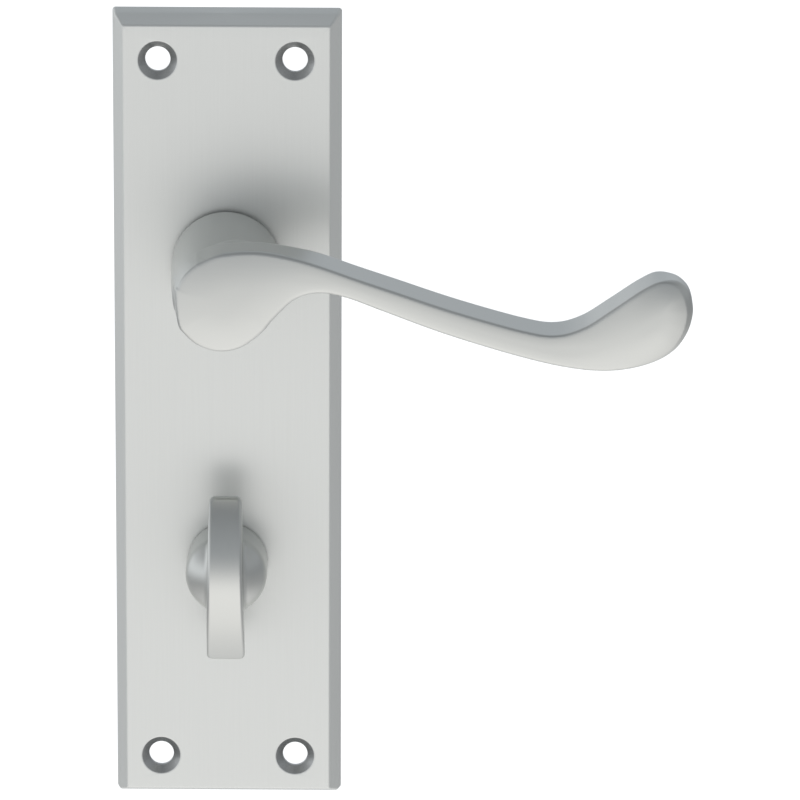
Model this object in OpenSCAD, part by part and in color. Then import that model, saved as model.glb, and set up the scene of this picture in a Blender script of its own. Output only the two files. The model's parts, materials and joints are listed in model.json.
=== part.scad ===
// Scroll lever handle on a tall bevelled backplate, with a thumb turn below the lever.
// The origin is the centre of the plate on the door face. +X runs along the lever, away from
// its pivot, +Y runs into the door and +Z points up, so the front of the handle faces -Y.

/* [Backplate] */
// Width of the plate at the door face
plate_w = 42; // [40:0.5:46]
// Height of the plate at the door face
plate_h = 150; // [146:1:160]
// How far the plate's front face stands off the door
plate_depth = 7; // [6.6:0.1:8]
// Depth of the lower side wall, before the bevel starts
wall_depth = 3.2; // [2.5:0.1:4]
// Taper of the side wall over its depth
wall_taper = 0.5; // [0.2:0.1:0.8]
// Width of the bevel round the front face
bevel_w = 1.5; // [1:0.1:1.8]
// Thickness of the front sheet over the hollow back
sheet_t = 2.2; // [1.8:0.1:2.2]
// Radius of the plate's corners at the door face
corner_r = 0.6; // [0.4:0.1:2]
// Sideways spacing of the four screw holes
screw_dx = 25; // [24:0.5:27]
// Upright spacing of the four screw holes
screw_dz = 133; // [130:0.5:134]
// Diameter of each screw hole
screw_d = 4.6; // [4:0.1:5]
// Diameter of each countersink at the front face
sink_d = 7.2; // [6.4:0.1:8]
// Distance between the lever axis and the turn axis
centres = 57; // [55:0.5:60]

/* [Lever] */
// Distance from the door face to the lever's front face
lever_front = 37.8; // [36:0.1:40]
// Depth of the arm, from its front face to its back
arm_depth = 9.5; // [8:0.1:10]
// Radius of the round head of the lever
head_r = 8.5; // [8.2:0.1:9]
// Diameter of the neck where it meets the plate
neck_d = 20.2; // [19.6:0.1:21]
// Taper of the lever's sides, in mm for each mm of depth
draft = 0.085; // [0.05:0.005:0.1]
// Rounding of the lever's front edge
front_round = 0.7; // [0.4:0.1:1]
// Rounding of the lever's back edge
back_round = 2; // [1:0.1:2.2]
// Travel of the lever, in degrees
lever_travel = 45; // [35:1:48]

/* [Thumb turn] */
// Height of the turn's blade
blade_h = 31.2; // [28:0.2:34]
// Width of the blade at its top end
blade_top_w = 6; // [5.6:0.1:6.6]
// Width of the blade at its bottom end
blade_low_w = 7; // [6:0.1:7.4]
// Distance from the door face to the blade's crown
blade_front = 24.6; // [23:0.1:26]
// Diameter of the boss where it meets the plate
boss_d = 15; // [14:0.1:16]

/* [Spindles] */
// Across flats of the lever's square spindle
lever_bar = 8; // [7.6:0.1:8]
// Length of the lever's spindle
lever_bar_len = 90; // [80:1:120]
// Across flats of the turn's square spindle
turn_bar = 5; // [4.5:0.1:5]
// Length of the turn's spindle
turn_bar_len = 75; // [65:1:90]

/* [Hidden] */
$fn = 64;
small = 0.01;               // thickness of the thin slabs that a hull joins
cut = 1;                    // how far a cutter runs past a face
lever_z = centres / 2;
turn_z = -centres / 2;
face_y = -plate_depth;
sheet_y = face_y + sheet_t;
face_corner_r = 0.3;
rim_w = 3;                  // width of the plate's rim, which bears on the door

// Neck, bushes and journals
seat_t = 1.2;               // flange of the lever's bush, the dark line under the neck
turn_seat_t = 0.3;          // flange of the turn's bush
seat_gap = 0.1;
neck_y = face_y - seat_t - seat_gap;
boss_y = face_y - turn_seat_t - seat_gap;
journal_r = 7;
turn_journal_r = 5;
run_gap = 0.05;             // radial clearance of each running fit
bush_wall = 1.2;
flange_in = 0.5;            // how far a bush flange stays inside the foot above it
socket_gap = 0.05;
arm_back_y = -lever_front + arm_depth;
bar_front_y = -28;
socket_y = bar_front_y - 0.5;
turn_bar_front_y = -19.5;
turn_socket_y = turn_bar_front_y - 0.5;

// Spring cassette behind the lever, from the sheet towards the door
cup_r = 16.5;
cup_t = 0.5;
lid_y = -1;                 // door side of the lid
washer_t = 0.3;
spring_t = 0.6;
spring_h = 1.2;
spring_r = 9.4;
spring_pitch = 1.25;
spring_turns = 2.8;
cam_t = 1.1;
cam_r = 8.5;
wing_r = 15.4;
wing_half = 14;
flats = 12;                 // across the two flats that key the cam to the lever
pin_r = 1;
pin_ring = 14.6;
post_angle = 70;
ear_ring = 20.2;
ear_r = 3.4;
post_d = 6.8;
screw_m = 3;
head_t = 0.9;
stop_gap = 0.4;             // degrees left between wing and pin at each end of the travel
floor_y = sheet_y + cup_t;
hub_y = floor_y + washer_t;
cam_back_y = lid_y - cup_t - 0.1;
cam_front_y = cam_back_y - cam_t;
pin_angle = asin(pin_r / pin_ring);
tail_a = post_angle - pin_angle - 1.4;      // where the spring's outer end bends out
spring_start = tail_a - 360 * spring_turns;
rest_stop = wing_half + pin_angle + stop_gap;
end_stop = -(rest_stop + lever_travel);
clip_t = 0.8;
clip_y = cam_back_y + 0.05;
groove_depth = 0.7;
journal_end = -0.2;

// Shape of the turn, as distances in front of the door face
crown_rise = 6.1;           // how far the blade's crown stands proud of its ends
blade_end = 2.6;            // depth of the blade at its two ends
boss_side = 15;             // where the boss's straight side ends
boss_top = 21;

// Washers behind the turn
turn_washer_t = 0.5;
wave_h = 1.1;
wave_t = 0.3;
wave_lobes = 3;
wave_steps = 48;
turn_washer_r = 8.2;
turn_clip_y = sheet_y + 2 * turn_washer_t + wave_h + 0.05;
turn_journal_end = -1;

// Grub screws, one in the neck and one in the boss
grub_d = 5;
grub_len = 5.6;
grub_y = -14;
turn_grub_d = 4;
turn_grub_len = 4;
turn_grub_y = -10.6;

// ---------- helpers ----------

// Extrudes an outline drawn in X and Z, from y_front to y_back
module slab(y_front, y_back) {
    translate([0, y_back, 0]) rotate([90, 0, 0]) linear_extrude(y_back - y_front) children();
}

// Cylinder along Y, from y_front to y_back
module rod_y(r, y_front, y_back) {
    translate([0, y_back, 0]) rotate([90, 0, 0]) cylinder(r = r, h = y_back - y_front);
}

// Turns a profile of [radius, depth towards the front] about the Y axis
module turned_y(profile) {
    rotate([90, 0, 0]) rotate_extrude() polygon(profile);
}

module ring_2d(r_out, r_in) {
    difference() {
        circle(r = r_out);
        circle(r = r_in);
    }
}

module rounded_rect(w, h, r) {
    union() {
        square([w - 2 * r, h], center = true);
        square([w, h - 2 * r], center = true);
        for (sx = [-1, 1], sz = [-1, 1])
            translate([sx * (w / 2 - r), sz * (h / 2 - r)]) circle(r = r, $fn = 32);
    }
}

module sector_2d(r, a0, a1) {
    polygon(concat([[0, 0]], [for (i = [0:8]) let (a = a0 + (a1 - a0) * i / 8)
        [r * cos(a), r * sin(a)]]));
}

module at_lever() { translate([0, 0, lever_z]) children(); }
module at_turn() { translate([0, 0, turn_z]) children(); }

// ---------- backplate ----------

// One thin outline of the plate, inset from the door face's outline
module plate_layer(y, inset, r) {
    slab(y - small, y) rounded_rect(plate_w - 2 * inset, plate_h - 2 * inset, r);
}

module plate_blank() {
    hull() {
        plate_layer(0, 0, corner_r);
        plate_layer(-wall_depth, wall_taper, corner_r);
        plate_layer(face_y + small, wall_taper + bevel_w, face_corner_r);
    }
}

module plate_recess() {
    slab(sheet_y, cut) rounded_rect(plate_w - 2 * rim_w, plate_h - 2 * rim_w, 2);
}

module cassette_places() {
    for (s = [-1, 1]) translate([0, 0, s * ear_ring]) children();
}

module backplate() {
    color([0.78, 0.79, 0.78]) difference() {
        union() {
            difference() {
                plate_blank();
                plate_recess();
            }
            at_lever() cassette_places() rod_y(post_d / 2, sheet_y - small, lid_y - 2 * cup_t);
        }
        for (sx = [-1, 1], sz = [-1, 1])
            translate([sx * screw_dx / 2, 0, sz * screw_dz / 2]) {
                rod_y(screw_d / 2, face_y - cut, cut);
                translate([0, face_y, 0]) rotate([-90, 0, 0])
                    cylinder(r1 = sink_d / 2, r2 = screw_d / 2, h = (sink_d - screw_d) / 2);
            }
        at_lever() rod_y(journal_r + bush_wall, face_y - cut, cut);
        at_turn() rod_y(turn_journal_r + bush_wall, face_y - cut, cut);
        at_lever() cassette_places() rod_y(screw_m / 2, face_y + 1, cut);
    }
}

// ---------- bushes ----------

module flanged_bush(bore_r, flange_r, flange_t) {
    turned_y([[bore_r + run_gap, -sheet_y], [bore_r + bush_wall, -sheet_y],
              [bore_r + bush_wall, -face_y], [flange_r, -face_y],
              [flange_r, -face_y + flange_t], [bore_r + run_gap, -face_y + flange_t]]);
}

module lever_bush() {
    color([0.13, 0.13, 0.13]) at_lever() flanged_bush(journal_r, neck_d / 2 - flange_in, seat_t);
}

module turn_bush() {
    color([0.13, 0.13, 0.13]) at_turn()
        flanged_bush(turn_journal_r, boss_d / 2 - flange_in, turn_seat_t);
}

// ---------- spring cassette ----------

module ears_2d() {
    difference() {
        union() for (s = [-1, 1]) {
            translate([0, s * ear_ring]) circle(r = ear_r);
            translate([-ear_r, min(s * ear_ring, s * cup_r * 0.8)])
                square([2 * ear_r, ear_ring - cup_r * 0.8]);
        }
        for (s = [-1, 1]) translate([0, s * ear_ring]) circle(r = screw_m / 2 + 0.1);
        circle(r = cup_r - cup_t);
    }
}

module cassette_cup() {
    color([0.62, 0.63, 0.65]) at_lever() {
        slab(sheet_y, floor_y) ring_2d(cup_r, journal_r + 1.4);
        slab(floor_y - small, lid_y - cup_t) ring_2d(cup_r, cup_r - cup_t);
        slab(lid_y - 2 * cup_t, lid_y - cup_t) ears_2d();
    }
}

module cassette_lid() {
    color([0.7, 0.71, 0.73]) at_lever() slab(lid_y - cup_t, lid_y) {
        ring_2d(cup_r, 9.6);
        ears_2d();
    }
}

// Low-headed machine screws that hold cup and lid to the plate's posts
module cassette_screws() {
    color([0.75, 0.75, 0.77]) at_lever() cassette_places() difference() {
        union() {
            rod_y(screw_m / 2 - 0.02, lid_y - 4, lid_y + small);
            rod_y(2.6, lid_y, lid_y + head_t);
        }
        for (a = [0, 90]) rotate([0, a, 0])
            translate([-1.6, lid_y + 0.35, -0.3]) cube([3.2, cut, 0.6]);
    }
}

module pin_at(a) {
    translate([pin_ring * cos(a), 0, pin_ring * sin(a)])
        rod_y(pin_r, floor_y, lid_y - cup_t);
}

// The cam's wings meet these pins at rest and at full travel
module stop_pins() {
    color([0.55, 0.56, 0.58]) at_lever()
        for (a = [rest_stop, end_stop, rest_stop + 180, end_stop + 180]) pin_at(a);
}

module spring_post() {
    color([0.55, 0.56, 0.58]) at_lever() pin_at(post_angle);
}

// Flat coiled spring: a strip wound round the cam's hub, with its inner end bent into the hub
// and its outer end bent out against the post
function coil_pt(turns, side) = let (a = spring_start + 360 * turns,
    r = spring_r + spring_pitch * turns + side * spring_t / 2) [r * cos(a), r * sin(a)];
function bend_pt(r, a, side) = let (s = side * spring_t / 2)
    [r * cos(a) - s * sin(a), r * sin(a) + s * cos(a)];

module return_spring() {
    steps = 30 * spring_turns;
    tail_r = spring_r + spring_pitch * spring_turns;
    tail_end = pin_ring + spring_t;
    hook_r = cam_r - 0.9;
    color([0.35, 0.37, 0.42]) at_lever() slab(hub_y + 0.05, hub_y + 0.05 + spring_h)
        polygon(concat(
            [for (side = [-1, 1]) bend_pt(hook_r, spring_start, side)],
            [bend_pt(spring_r - spring_t / 2, spring_start, 1)],
            [for (i = [1:steps - 1]) coil_pt(spring_turns * i / steps, -1)],
            [bend_pt(tail_r - spring_t / 2, tail_a, 1), bend_pt(tail_end, tail_a, 1),
             bend_pt(tail_end, tail_a, -1)],
            [for (i = [steps - 1:-1:1]) coil_pt(spring_turns * i / steps, 1)],
            [bend_pt(spring_r + spring_t / 2, spring_start, -1)]));
}

module thrust_washer() {
    color([0.9, 0.9, 0.86]) at_lever() slab(floor_y, hub_y) ring_2d(cam_r - 0.1, journal_r + 0.15);
}

// Key shape: a round journal with two flats
module key_2d(gap) {
    intersection() {
        circle(r = journal_r + gap);
        square([3 * journal_r, flats + 2 * gap], center = true);
    }
}

module drive_cam() {
    color([0.66, 0.67, 0.7]) at_lever() {
        slab(hub_y, cam_back_y) difference() {
            circle(r = cam_r);
            key_2d(run_gap);
            rotate(spring_start) translate([cam_r - 1, -spring_t / 2 - 0.1])
                square([2, spring_t + 0.2]);
        }
        slab(cam_front_y, cam_back_y) difference() {
            for (a = [0, 180]) rotate(a) sector_2d(wing_r, -wing_half, wing_half);
            circle(r = cam_r - 0.3);
        }
    }
}

// Retaining ring with two lugs at its opening
module circlip_2d(r_in, w, lug_r) {
    difference() {
        union() {
            ring_2d(r_in + w, r_in);
            for (a = [-16, 16]) rotate(a - 90) translate([r_in + w * 0.75, 0]) circle(r = lug_r);
        }
        circle(r = r_in);
        sector_2d(3 * r_in, -99, -81);
        for (a = [-16, 16]) rotate(a - 90) translate([r_in + w * 0.75, 0])
            circle(r = lug_r / 2.4, $fn = 24);
    }
}

module lever_circlip() {
    color([0.3, 0.31, 0.33]) at_lever() slab(clip_y, clip_y + clip_t)
        circlip_2d(journal_r - groove_depth + 0.02, 1.4, 1.25);
}

// ---------- lever ----------

// Edge of the lever seen from the front, as pairs of points: one on the under side and the one
// across from it on the top side, from the neck of the head out to the tip of the scroll
stations = [[[7.65, -4.55], [0.2, 9.2]], [[9.4, -2.4], [6, 9.65]], [[13.2, 1.2], [11.6, 8.9]],
            [[17.6, 2.4], [18, 7.05]], [[22.6, 1.5], [24, 4.95]], [[29, -0.9], [31, 2.6]], [[40, -5], [42, -1.1]],
            [[52.6, -8.9], [54, -4.5]], [[62, -11.1], [60, -5.3]], [[69.5, -11.7], [65, -3.9]],
            [[76, -10.6], [70, -0.7]], [[80.8, -8.3], [75, 2.7]], [[83.4, -5.1], [78.6, 4.7]],
            [[84.5, -1.6], [81.8, 4.6]], [[84.3, 1.1], [83.5, 3.1]]];
head_low = 311;             // where the under side leaves the head's circle, in degrees
head_top = 116;             // where the top side leaves it
head_steps = 7;
low_edge = concat([for (k = [1:head_steps]) let (a = 186 + (head_low - 186) * k / head_steps)
    head_r * [cos(a), sin(a)]], [for (s = stations) s[0]]);
top_edge = concat([for (k = [1:head_steps]) let (a = 174 - (174 - head_top) * k / head_steps)
    head_r * [cos(a), sin(a)]], [for (s = stations) s[1]]);
side_n = len(low_edge);
edge_pts = concat(low_edge, [for (i = [side_n - 1:-1:0]) top_edge[i]]);
edge_n = len(edge_pts);
edge_sub = 4;

function pick(i) = edge_pts[(i + edge_n) % edge_n];
function curve(a, b, c, d, t) = 0.5 * (2 * b + t * (c - a) + t * t * (2 * a - 5 * b + 4 * c - d)
    + t * t * t * (3 * b - a - 3 * c + d));
edge = [for (i = [0:edge_n - 1], j = [0:edge_sub - 1])
    curve(pick(i - 1), pick(i), pick(i + 1), pick(i + 2), j / edge_sub)];
count = len(edge);
function outward(i) = let (t = edge[(i + 1) % count] - edge[(i + count - 1) % count])
    [t[1], -t[0]] / norm(t);

// Each layer is [depth behind the front face, how far the edge moves out]
arc_steps = 3;
layers = concat(
    [for (k = [0:arc_steps]) let (a = 90 * k / arc_steps)
        [front_round * (1 - cos(a)), front_round * (sin(a) - 1)]],
    [for (k = [0:arc_steps]) let (a = 90 * k / arc_steps,
        d = arm_depth - back_round * (1 - sin(a)))
        [d, draft * d - back_round * (1 - cos(a))]]);
rings = len(layers);

// Flat end of the arm's mesh: a strip between the under side and the top side
function across(k) = (count - edge_sub - k + count) % count;
function end_faces(base, flip) = [for (k = [-edge_sub / 2:count / 2 - edge_sub / 2 - 1])
    let (a = (k + count) % count, b = across(k), c = across(k + 1), d = k + 1 + (k < -1 ? count : 0))
    each [for (f = [[a, b, c], [a, c, d]]) if (f[0] != f[1] && f[1] != f[2] && f[0] != f[2])
        base * [1, 1, 1] + (flip ? [f[2], f[1], f[0]] : f)]];

module arm() {
    points = [for (l = layers, i = [0:count - 1]) let (p = edge[i] + l[1] * outward(i))
        [p[0], l[0] - lever_front, p[1]]];
    sides = [for (k = [0:rings - 2], i = [0:count - 1]) let (j = (i + 1) % count)
        each [[k * count + i, k * count + j, (k + 1) * count + j],
              [k * count + i, (k + 1) * count + j, (k + 1) * count + i]]];
    polyhedron(points = points, convexity = 6, faces = concat(sides, end_faces(0, false),
        end_faces((rings - 1) * count, true)));
}

module neck() {
    plug_r = head_r - 1.5;
    top_r = head_r + draft * arm_depth - back_round * 0.3;
    turned_y([[0, -neck_y], [neck_d / 2, -neck_y], [top_r, -arm_back_y + 0.6],
              [plug_r, -arm_back_y + 1.6], [plug_r, -arm_back_y + 3], [0, -arm_back_y + 3]]);
}

module lever() {
    color([0.8, 0.81, 0.8]) at_lever() difference() {
        union() {
            arm();
            neck();
            rod_y(journal_r, neck_y - small, hub_y);
            slab(hub_y - small, journal_end) key_2d(0);
        }
        slab(clip_y - 0.05, clip_y + clip_t + 0.05) ring_2d(journal_r + cut, journal_r - groove_depth);
        slab(socket_y, cut) square(lever_bar + 2 * socket_gap, center = true);
        translate([0, grub_y, -neck_d]) cylinder(r = grub_d / 2 + 0.05, h = neck_d);
    }
}

module lever_spindle() {
    color([0.72, 0.73, 0.75]) at_lever() slab(bar_front_y, bar_front_y + lever_bar_len)
        square(lever_bar, center = true);
}

// Headless screw with a hexagon socket, its point on the flat of the spindle
module grub(d, len, z_top) {
    translate([0, 0, z_top - len]) difference() {
        cylinder(r = d / 2, h = len);
        translate([0, 0, -cut]) cylinder(r = d * 0.29, h = len / 2 + cut, $fn = 6);
    }
}

module lever_grub_screw() {
    color([0.16, 0.16, 0.17]) at_lever() translate([0, grub_y, 0])
        grub(grub_d, grub_len, -lever_bar / 2);
}

// ---------- thumb turn ----------

// Side view of the blade: a crowned front edge, and a back edge that falls in behind the boss
function crown(z) = let (half = blade_h / 2, r = (half * half + crown_rise * crown_rise)
    / 2 / crown_rise) blade_front - r + sqrt(r * r - z * z);

module blade_side_2d() {
    half = blade_h / 2;
    steps = 24;
    polygon(concat([for (i = [0:steps]) let (z = half * (2 * i / steps - 1)) [crown(z), z]],
        [[crown(half) - blade_end, half], [boss_top - 4, boss_d / 2 - 1],
         [boss_top - 4, 1 - boss_d / 2], [crown(half) - blade_end, -half]]));
}

// Front view of the blade: a long shape with round corners, a little wider at the bottom
module blade_front_2d() {
    r = 1.1;
    rt = blade_top_w / 2 - r;
    rl = blade_low_w / 2 - r;
    zc = blade_h / 2 - r;
    hull() for (s = [-1, 1]) {
        translate([s * rt, zc]) circle(r = r, $fn = 32);
        translate([s * rl, -zc]) circle(r = r, $fn = 32);
    }
}

module blade() {
    intersection() {
        slab(-blade_front - cut, 0) blade_front_2d();
        translate([-blade_low_w, 0, 0]) rotate([90, 0, 90]) linear_extrude(2 * blade_low_w)
            mirror([1, 0]) blade_side_2d();
    }
}

// Barrel that rounds over into the blade, drawn as a quarter ellipse on a short cylinder
module boss() {
    steps = 10;
    turned_y(concat([[0, -boss_y], [boss_d / 2 - 0.3, -boss_y]],
        [for (i = [0:steps]) let (a = 90 * i / steps)
            [boss_d / 2 * cos(a), boss_side + (boss_top - boss_side) * sin(a)]]));
}

module thumb_turn() {
    color([0.8, 0.81, 0.8]) at_turn() difference() {
        union() {
            boss();
            blade();
            rod_y(turn_journal_r, boss_y - small, turn_journal_end);
        }
        slab(turn_clip_y - 0.05, turn_clip_y + clip_t + 0.05)
            ring_2d(turn_journal_r + cut, turn_journal_r - groove_depth);
        slab(turn_socket_y, cut) square(turn_bar + 2 * socket_gap, center = true);
        translate([0, turn_grub_y, -boss_d]) cylinder(r = turn_grub_d / 2 + 0.05, h = boss_d);
    }
}

module turn_spindle() {
    color([0.72, 0.73, 0.75]) at_turn() slab(turn_bar_front_y, turn_bar_front_y + turn_bar_len)
        square(turn_bar, center = true);
}

module turn_grub_screw() {
    color([0.16, 0.16, 0.17]) at_turn() translate([0, turn_grub_y, 0])
        grub(turn_grub_d, turn_grub_len, -turn_bar / 2);
}

module turn_thrust_washer() {
    color([0.9, 0.9, 0.86]) at_turn() slab(sheet_y, sheet_y + turn_washer_t)
        ring_2d(turn_washer_r, turn_journal_r + 0.1);
}

// Spring washer with three waves
module turn_wave_washer() {
    y0 = sheet_y + turn_washer_t;
    r = [turn_journal_r + 0.3, turn_washer_r - 0.4];
    swing = (wave_h - wave_t) / 2;
    points = [for (i = [0:wave_steps - 1]) let (a = 360 * i / wave_steps,
        y = y0 + swing * (1 + cos(wave_lobes * a)))
        each [for (q = [[r[0], 0], [r[1], 0], [r[1], wave_t], [r[0], wave_t]])
            [q[0] * cos(a), y + q[1], q[0] * sin(a)]]];
    color([0.6, 0.61, 0.64]) at_turn() polyhedron(points = points, convexity = 4,
        faces = [for (i = [0:wave_steps - 1], k = [0:3]) let (j = (i + 1) % wave_steps,
            m = (k + 1) % 4)
            each [[4 * i + k, 4 * i + m, 4 * j + m], [4 * i + k, 4 * j + m, 4 * j + k]]]);
}

module turn_clip_washer() {
    y0 = sheet_y + turn_washer_t + wave_h;
    color([0.66, 0.67, 0.7]) at_turn() slab(y0, y0 + turn_washer_t)
        ring_2d(turn_washer_r - 0.2, turn_journal_r + 0.1);
}

module turn_circlip() {
    color([0.3, 0.31, 0.33]) at_turn() slab(turn_clip_y, turn_clip_y + clip_t)
        circlip_2d(turn_journal_r - groove_depth + 0.02, 1.2, 1.1);
}

backplate();
lever_bush();
turn_bush();
cassette_cup();
cassette_lid();
cassette_screws();
stop_pins();
spring_post();
return_spring();
thrust_washer();
lever();
lever_spindle();
lever_grub_screw();
drive_cam();
lever_circlip();
thumb_turn();
turn_spindle();
turn_grub_screw();
turn_thrust_washer();
turn_wave_washer();
turn_clip_washer();
turn_circlip();
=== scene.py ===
import json
import math

import bmesh
import bpy
import numpy as np
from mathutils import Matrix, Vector


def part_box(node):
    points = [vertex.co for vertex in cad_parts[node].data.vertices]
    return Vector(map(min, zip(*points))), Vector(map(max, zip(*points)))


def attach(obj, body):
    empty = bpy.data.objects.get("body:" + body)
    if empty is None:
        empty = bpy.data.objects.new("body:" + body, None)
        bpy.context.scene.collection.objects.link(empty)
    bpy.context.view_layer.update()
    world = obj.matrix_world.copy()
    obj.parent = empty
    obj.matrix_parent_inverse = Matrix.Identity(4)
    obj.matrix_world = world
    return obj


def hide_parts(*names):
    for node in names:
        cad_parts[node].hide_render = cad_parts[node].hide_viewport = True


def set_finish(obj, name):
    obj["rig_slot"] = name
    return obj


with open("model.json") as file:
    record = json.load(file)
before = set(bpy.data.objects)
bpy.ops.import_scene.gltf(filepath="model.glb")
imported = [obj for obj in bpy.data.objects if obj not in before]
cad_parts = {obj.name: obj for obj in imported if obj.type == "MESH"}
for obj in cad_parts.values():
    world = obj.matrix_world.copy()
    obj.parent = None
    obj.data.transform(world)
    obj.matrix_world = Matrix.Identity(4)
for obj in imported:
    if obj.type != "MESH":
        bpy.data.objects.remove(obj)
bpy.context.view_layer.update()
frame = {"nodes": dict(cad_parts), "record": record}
MM = 0.001

# ---------------------------------------------------------------- sizes in mm, from the frame
# The frame's origin is the plate's centre on the door face. -Y faces the room, +X runs along the
# lever and +Z is up.


def box_mm(node):
    lo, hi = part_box(node)
    return np.array(lo) / MM, np.array(hi) / MM


PLATE_LO, PLATE_HI = box_mm("backplate")
LEVER_LO, LEVER_HI = box_mm("lever")
TURN_LO, TURN_HI = box_mm("thumb_turn")
BUSH_LO, BUSH_HI = box_mm("lever_bush")
TURN_BUSH_LO, TURN_BUSH_HI = box_mm("turn_bush")
CLIP_LO, CLIP_HI = box_mm("lever_circlip")
TURN_CLIP_LO, TURN_CLIP_HI = box_mm("turn_circlip")
BAR_LO, BAR_HI = box_mm("lever_spindle")
TURN_BAR_LO, TURN_BAR_HI = box_mm("turn_spindle")

PLATE_W = PLATE_HI[0] - PLATE_LO[0]
PLATE_H = PLATE_HI[2] - PLATE_LO[2]
FACE_Y = PLATE_LO[1]        # the plate's front face
SHEET_Y = BUSH_HI[1]        # the back of the plate's front sheet
LEVER_Z = (BUSH_LO[2] + BUSH_HI[2]) / 2
TURN_Z = (TURN_BUSH_LO[2] + TURN_BUSH_HI[2]) / 2
LEVER_FRONT = LEVER_LO[1]
TURN_FRONT = TURN_LO[1]
CAM_FRONT = box_mm("drive_cam")[0][1]
LID_BACK = box_mm("cassette_lid")[1][1]
SEAT_GAP = 0.1              # between a bush's flange and the foot that runs on it
NECK_Y = BUSH_LO[1] - SEAT_GAP
BOSS_Y = TURN_BUSH_LO[1] - SEAT_GAP


# ---------------------------------------------------------------- mesh helpers

TINY = 1e-3                 # least that anything is divided by where it could be 0
WELD = 1e-4                 # vertices closer than this become one
CORNER_STEPS = 6            # segments in each corner of a rounded rectangle
MAX_CUT = 0.45              # most of a line's length that one rounded corner may take


def add_object(name, data):
    obj = bpy.data.objects.new(name, data)
    bpy.context.scene.collection.objects.link(obj)
    return obj


def add_piece(name, mesh, body, slot, node):
    """A piece that rides on a body and replaces a node, if one is named."""
    obj = add_object(name, mesh)
    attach(obj, body)
    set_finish(obj, slot)
    if node:
        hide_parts(node)
    return obj


def finish_mesh(name, bm, body, slot, sharp, node=None):
    """Turns a bmesh in mm into a piece in metres, shaded smooth up to sharp degrees."""
    bmesh.ops.remove_doubles(bm, verts=bm.verts, dist=WELD)
    bmesh.ops.recalc_face_normals(bm, faces=bm.faces)
    bmesh.ops.scale(bm, vec=(MM, MM, MM), verts=bm.verts)
    mesh = bpy.data.meshes.new(name)
    bm.to_mesh(mesh)
    bm.free()
    mesh.polygons.foreach_set("use_smooth", [True] * len(mesh.polygons))
    mesh.set_sharp_from_angle(angle=math.radians(sharp))
    obj = add_piece(name, mesh, body, slot, node)
    weighted = obj.modifiers.new("weighted normals", "WEIGHTED_NORMAL")
    weighted.keep_sharp = True
    return obj


def add_loop(bm, points):
    return [bm.verts.new(p) for p in points]


def bridge_all(bm, loops):
    """Quads between each loop and the next."""
    for a, b in zip(loops, loops[1:]):
        for i in range(len(a)):
            j = (i + 1) % len(a)
            bm.faces.new((a[i], a[j], b[j], b[i]))


def fill_between(bm, loops):
    """Fills the flat area inside the first loop and outside the others."""
    edges = []
    for loop in loops:
        for i, v in enumerate(loop):
            w = loop[(i + 1) % len(loop)]
            edges.append(bm.edges.get((v, w)) or bm.edges.new((v, w)))
    bmesh.ops.triangle_fill(bm, use_beauty=True, use_dissolve=False, edges=edges)


def circle_pts(cx, cz, r, y, n):
    return [(cx + r * math.cos(2 * math.pi * i / n), y, cz + r * math.sin(2 * math.pi * i / n))
            for i in range(n)]


def rect_pts(w, h, r, y):
    """Rectangle round the Y axis with corners of radius r."""
    points = []
    for k, (sx, sz) in enumerate([(1, 1), (-1, 1), (-1, -1), (1, -1)]):
        for i in range(CORNER_STEPS + 1):
            a = math.pi / 2 * (k + i / CORNER_STEPS)
            points.append((sx * (w / 2 - r) + r * math.cos(a), y,
                           sz * (h / 2 - r) + r * math.sin(a)))
    return points


def rounded(profile, radii, steps):
    """A line of pairs with each inner corner rounded by its own radius. The first pair only
    gives the direction that the line comes from and is left out."""
    points = [np.array(p, float) for p in profile]
    out = []
    for a, p, b, r in zip(points, points[1:], points[2:], radii):
        u, v = a - p, b - p
        lu, lv = np.linalg.norm(u), np.linalg.norm(v)
        cut = min(r, MAX_CUT * lu, MAX_CUT * lv)
        for k in range(steps + 1):
            t = k / steps
            out.append(p + u / lu * cut * (1 - t) ** 2 + v / lv * cut * t ** 2)
    return out + [points[-1]]


def turned(bm, cz, profile, n):
    """Turns a closed profile of pairs of (radius, y) about the line at height cz along Y. A
    radius may be a function of the angle."""
    loops = []
    for r, y in profile:
        ring = []
        for i in range(n):
            a = 2 * math.pi * i / n
            q = r(a) if callable(r) else r
            ring.append((q * math.cos(a), y, cz + q * math.sin(a)))
        loops.append(add_loop(bm, ring))
    bridge_all(bm, loops + loops[:1])


def square_r(half):
    """Radius of a square of the given half width, by angle."""
    return lambda a: half / max(abs(math.cos(a)), abs(math.sin(a)))


# ---------------------------------------------------------------- distance fields

HOLE_ROUND = 0.25           # at the mouth of a drilled hole
NET_MARGIN = 1.5            # cells of room round the box that a net is made in
FIELD_PARTS = 24            # parts that a grid is worked out in, to save memory
NET_ROUNDS = 7              # times that a net's vertices are pulled on to the surface
EVEN_ROUNDS = (1, 2, 3, 4)  # rounds in which they are first evened out
SLOPE_STEP = 0.05           # step for the field's slope, in cells
MIN_SLOPE = 0.25            # least squared slope that a pull is worked out with


def smooth(lo, hi, x):
    """0 up to lo and 1 from hi, with a smooth rise between."""
    t = np.clip((x - lo) / (hi - lo), 0, 1)
    return t * t * (3 - 2 * t)


def meet(a, b, r):
    """Intersection of two distances with its edge rounded by r."""
    return np.minimum(-r, np.maximum(a, b)) + np.hypot(np.maximum(r + a, 0), np.maximum(r + b, 0))


def join(a, b, r):
    """Union of two distances with a fillet of r in the corner."""
    return np.maximum(r, np.minimum(a, b)) - np.hypot(np.maximum(r - a, 0), np.maximum(r - b, 0))


def fall(edge, width):
    """1 at an outline, where edge is 0, going to 0 at a width inside it."""
    return 1 - np.clip(-edge / width, 0, 1)


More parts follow.
